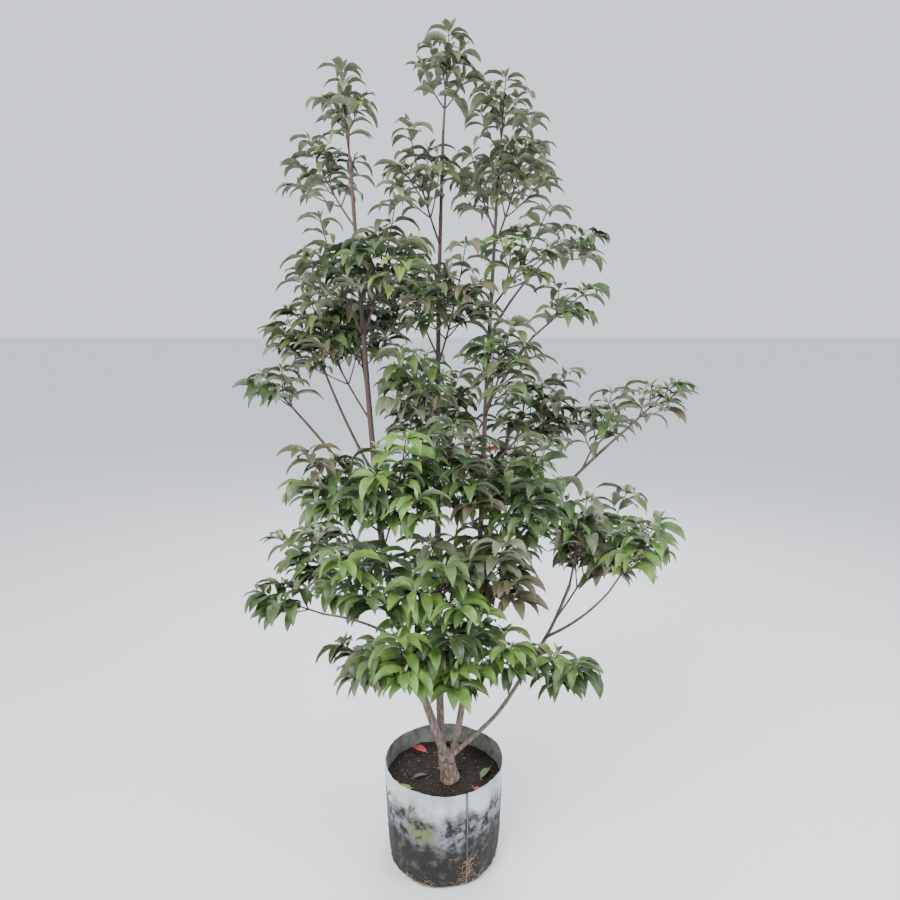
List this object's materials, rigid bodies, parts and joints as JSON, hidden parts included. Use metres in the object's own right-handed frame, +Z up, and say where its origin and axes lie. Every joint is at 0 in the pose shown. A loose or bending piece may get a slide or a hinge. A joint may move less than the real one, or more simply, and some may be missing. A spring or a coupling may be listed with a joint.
{
  "type": "potted evergreen dogwood",
  "caption": "Evergreen dogwood with several slim stems from one stump, rising boughs and drooping pointed leaves, standing in a soft nursery grow bag filled with moist soil.",
  "frame": {"origin": "middle of the grow bag's flat underside", "axes": "+Z up along the stems, -Y towards the plant's front, +X to the right seen from the front"},
  "size_m": [1.2944, 0.9915, 2.3348],
  "materials": {
    "bag_film": "worn black and pale grey plastic film, muddy below",
    "moist_soil": "dark moist potting soil",
    "stump_bark": "grey-beige bark with fine wrinkles",
    "stem_bark": "smooth grey-brown bark",
    "bough_bark": "thin purple-brown bark",
    "leaf_green": "satin green leaves",
    "leaf_bright": "satin bright green leaves",
    "leaf_bronze": "satin green leaves tinted bronze"
  },
  "bodies": {
    "root": {"grow_bag": "bag_film", "soil": "moist_soil", "trunk": "stump_bark", "stem_left": "stem_bark", "stem_centre": "stem_bark", "stem_right": "stem_bark", "stem_low": "stem_bark", "bough_left_low": "bough_bark", "bough_left_wide": "bough_bark", "bough_left_steep": "bough_bark", "bough_left_back": "bough_bark", "bough_centre_back": "bough_bark", "bough_right_high": "bough_bark", "bough_right_upper": "bough_bark", "bough_right_wide": "bough_bark", "bough_low_outer": "bough_bark", "leaves_left_top": "leaf_bronze", "leaves_centre_top": "leaf_bronze", "leaves_right_top": "leaf_bronze", "leaves_low_top": "leaf_green", "leaves_left_low_tip": "leaf_green", "leaves_left_wide_tip": "leaf_green", "leaves_left_steep_tip": "leaf_green", "leaves_left_back_tip": "leaf_green", "leaves_centre_back_tip": "leaf_green", "leaves_right_high_tip": "leaf_bronze", "leaves_right_upper_tip": "leaf_green", "leaves_right_wide_tip": "leaf_green", "leaves_low_outer_tip": "leaf_green", "leaves_left_crest": "leaf_bronze", "leaves_left_shoulder": "leaf_bronze", "leaves_left_upper": "leaf_green", "leaves_left_inner_high": "leaf_bronze", "leaves_left_back_high": "leaf_bronze", "leaves_left_slope": "leaf_green", "leaves_left_middle": "leaf_green", "leaves_left_front": "leaf_bright", "leaves_left_belly": "leaf_green", "leaves_left_skirt": "leaf_green", "leaves_left_front_low": "leaf_green", "leaves_centre_crest": "leaf_bronze", "leaves_centre_left_high": "leaf_bronze", "leaves_centre_right_high": "leaf_bronze", "leaves_centre_left": "leaf_green", "leaves_centre_back": "leaf_green", "leaves_centre_front": "leaf_green", "leaves_centre_belly": "leaf_bright", "leaves_centre_skirt": "leaf_green", "leaves_right_crest_in": "leaf_bronze", "leaves_right_crest_out": "leaf_bronze", "leaves_right_shoulder": "leaf_bronze", "leaves_right_front_high": "leaf_green", "leaves_right_slope": "leaf_green", "leaves_right_inner": "leaf_green", "leaves_right_back": "leaf_green", "leaves_right_front": "leaf_green", "leaves_right_skirt": "leaf_bright", "leaves_right_wide_side": "leaf_green", "leaves_low_side": "leaf_green", "leaves_low_hanging": "leaf_green"}
  },
  "joints": []
}
